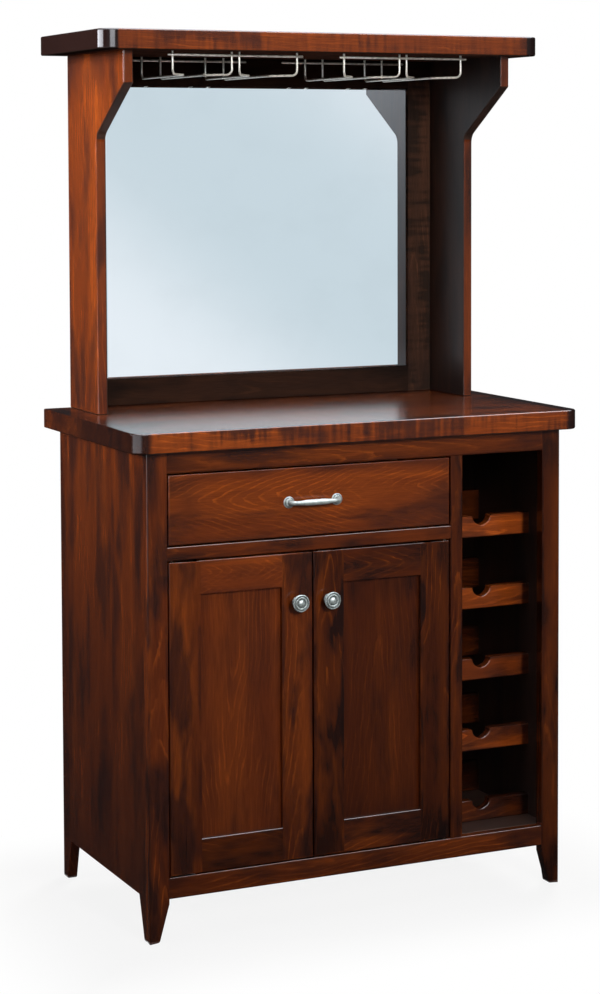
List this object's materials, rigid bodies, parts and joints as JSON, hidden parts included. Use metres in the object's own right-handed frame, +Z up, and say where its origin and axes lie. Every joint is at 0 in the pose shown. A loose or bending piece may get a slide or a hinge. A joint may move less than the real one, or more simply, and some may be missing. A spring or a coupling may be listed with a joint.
{
  "type": "wine cabinet",
  "caption": "Free-standing wine cabinet with drawer, framed doors, open bottle bay, slab counter and mirrored hutch with hanging stemware racks.",
  "frame": {"origin": "on the floor under the middle of the cabinet's box", "axes": "-Y out of the front, +X to the right of someone facing the front, +Z up"},
  "size_m": [0.906, 0.482, 1.6254],
  "materials": {
    "stained_wood": "dark red-brown stained maple under clear gloss lacquer",
    "inner_wood": "dark red-brown stained inner boards, satin lacquer",
    "drawer_wood": "clear satin lacquered maple",
    "pewter": "antique pewter, worn bright on the high spots",
    "rack_wire": "polished wire",
    "zinc_steel": "zinc plated",
    "hinge_brass": "satin brass",
    "catch_plastic": "matte brown",
    "mirror": "silvered plate glass"
  },
  "bodies": {
    "cabinet": {"left_side_panel": "stained_wood", "right_side_panel": "stained_wood", "left_face_stile": "stained_wood", "right_face_stile": "stained_wood", "face_mullion": "stained_wood", "face_top_rail": "stained_wood", "face_drawer_rail": "stained_wood", "face_bottom_rail": "stained_wood", "counter_top": "stained_wood", "hutch_left_side": "stained_wood", "hutch_right_side": "stained_wood", "mirror_left_stile": "stained_wood", "mirror_right_stile": "stained_wood", "mirror_top_rail": "stained_wood", "mirror_bottom_rail": "stained_wood", "hutch_top": "stained_wood", "case_floor": "inner_wood", "case_partition": "inner_wood", "case_back_panel": "inner_wood", "mirror_backing": "inner_wood", "rear_bottle_rails": "inner_wood", "top_stretchers": "inner_wood", "drawer_stretcher": "inner_wood", "slide_spacer": "inner_wood", "shelf": "inner_wood", "front_bottle_rail_1": "inner_wood", "front_bottle_rail_2": "inner_wood", "front_bottle_rail_3": "inner_wood", "front_bottle_rail_4": "inner_wood", "front_bottle_rail_5": "inner_wood", "hinge_frame_leaves": "hinge_brass", "slide_outer_members": "zinc_steel", "case_screws": "zinc_steel", "shelf_pins": "zinc_steel", "door_catches": "catch_plastic", "mirror_glass": "mirror", "left_stemware_rack": "rack_wire", "right_stemware_rack": "rack_wire"},
    "drawer": {"drawer_front": "stained_wood", "drawer_left_side": "drawer_wood", "drawer_right_side": "drawer_wood", "drawer_back": "drawer_wood", "drawer_bottom": "drawer_wood", "drawer_pull": "pewter", "slide_inner_members": "zinc_steel"},
    "slide_middle": {"slide_middle_members": "zinc_steel"},
    "left_door": {"left_door_hinge_stile": "stained_wood", "left_door_lock_stile": "stained_wood", "left_door_top_rail": "stained_wood", "left_door_bottom_rail": "stained_wood", "left_door_panel": "stained_wood", "left_door_knob": "pewter", "left_door_hinge_leaves": "hinge_brass"},
    "right_door": {"right_door_hinge_stile": "stained_wood", "right_door_lock_stile": "stained_wood", "right_door_top_rail": "stained_wood", "right_door_bottom_rail": "stained_wood", "right_door_panel": "stained_wood", "right_door_knob": "pewter", "right_door_hinge_leaves": "hinge_brass"}
  },
  "joints": [
    {"name": "drawer_slide", "type": "slide", "parent": "cabinet", "child": "drawer", "axis": [0, -1, 0], "range_m": [0, 0.38]},
    {"name": "slide_middle_slide", "type": "slide", "parent": "cabinet", "child": "slide_middle", "axis": [0, -1, 0], "range_m": [0, 0.19]},
    {"name": "left_door_hinge", "type": "hinge", "parent": "cabinet", "child": "left_door", "pos_m": [-0.3725, -0.21, 0.4], "axis": [0, 0, -1], "range_deg": [0, 110]},
    {"name": "right_door_hinge", "type": "hinge", "parent": "cabinet", "child": "right_door", "pos_m": [0.1745, -0.21, 0.4], "axis": [0, 0, 1], "range_deg": [0, 110]}
  ],
  "couplings": [
    {"joint": "slide_middle_slide", "follows": "drawer_slide", "ratio": 0.5}
  ]
}
